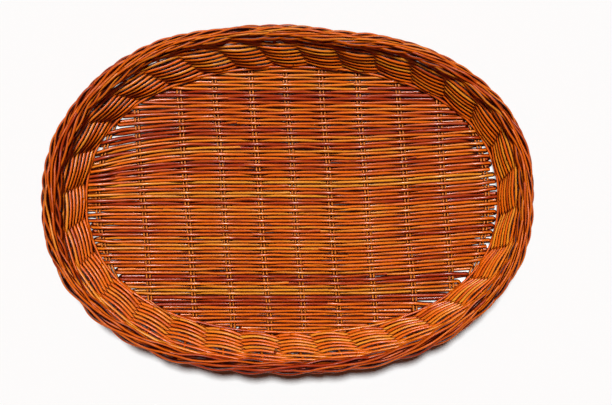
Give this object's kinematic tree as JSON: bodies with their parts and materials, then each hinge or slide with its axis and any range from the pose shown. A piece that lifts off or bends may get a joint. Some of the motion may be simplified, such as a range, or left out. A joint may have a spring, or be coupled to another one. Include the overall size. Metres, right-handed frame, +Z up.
{
  "type": "wicker basket",
  "caption": "Shallow oval wicker tray basket: a floor woven on doubled sticks, a flared wall woven round leaning stakes and a rope-like border, for bread, fruit or small goods.",
  "frame": {"origin": "on the surface that the basket stands on, under the centre of the oval rim", "axes": "+X along the oval's length, +Y across it towards the top of the picture, +Z up"},
  "size_m": [0.4498, 0.3208, 0.0608],
  "materials": {
    "stick": "varnished pale willow sticks, golden orange",
    "floor_rod": "varnished willow, orange-brown, glossy streaks along the rods",
    "foot_rod": "varnished willow, orange-brown",
    "wall_rod": "varnished willow, orange-brown, glossy streaks along the rods",
    "stake": "varnished willow, darker brown",
    "border_rod": "varnished willow, orange-brown, glossy"
  },
  "bodies": {
    "root": {"border_core": "stake", "border_rod_01": "border_rod", "border_rod_02": "border_rod", "border_rod_03": "border_rod", "border_rod_04": "border_rod", "border_rod_05": "border_rod", "border_rod_06": "border_rod", "border_rod_07": "border_rod", "border_rod_08": "border_rod", "floor_stick_pair_01": "stick", "floor_stick_pair_02": "stick", "floor_stick_pair_03": "stick", "floor_stick_pair_04": "stick", "floor_stick_pair_05": "stick", "floor_stick_pair_06": "stick", "floor_stick_pair_07": "stick", "floor_stick_pair_08": "stick", "floor_stick_pair_09": "stick", "floor_weaver_01": "floor_rod", "floor_weaver_02": "floor_rod", "floor_weaver_03": "floor_rod", "floor_weaver_04": "floor_rod", "floor_weaver_05": "floor_rod", "floor_weaver_06": "floor_rod", "floor_weaver_07": "floor_rod", "foot_wale": "foot_rod", "left_edge_stick_pair": "stick", "right_edge_stick_pair": "stick", "stake_pair_01": "stake", "stake_pair_02": "stake", "stake_pair_03": "stake", "stake_pair_04": "stake", "stake_pair_05": "stake", "stake_pair_06": "stake", "stake_pair_07": "stake", "stake_pair_08": "stake", "stake_pair_09": "stake", "stake_pair_10": "stake", "stake_pair_11": "stake", "stake_pair_12": "stake", "stake_pair_13": "stake", "stake_pair_14": "stake", "stake_pair_15": "stake", "stake_pair_16": "stake", "wall_weaver_01": "wall_rod", "wall_weaver_02": "wall_rod", "wall_weaver_03": "wall_rod", "wall_weaver_04": "wall_rod", "wall_weaver_05": "wall_rod", "wall_weaver_06": "wall_rod", "wall_weaver_07": "wall_rod", "wall_weaver_08": "wall_rod", "wall_weaver_09": "wall_rod", "wall_weaver_10": "wall_rod", "wall_weaver_11": "wall_rod", "wall_weaver_12": "wall_rod", "wall_weaver_13": "wall_rod", "wall_weaver_14": "wall_rod", "wall_weaver_15": "wall_rod", "wall_weaver_16": "wall_rod"}
  },
  "joints": []
}
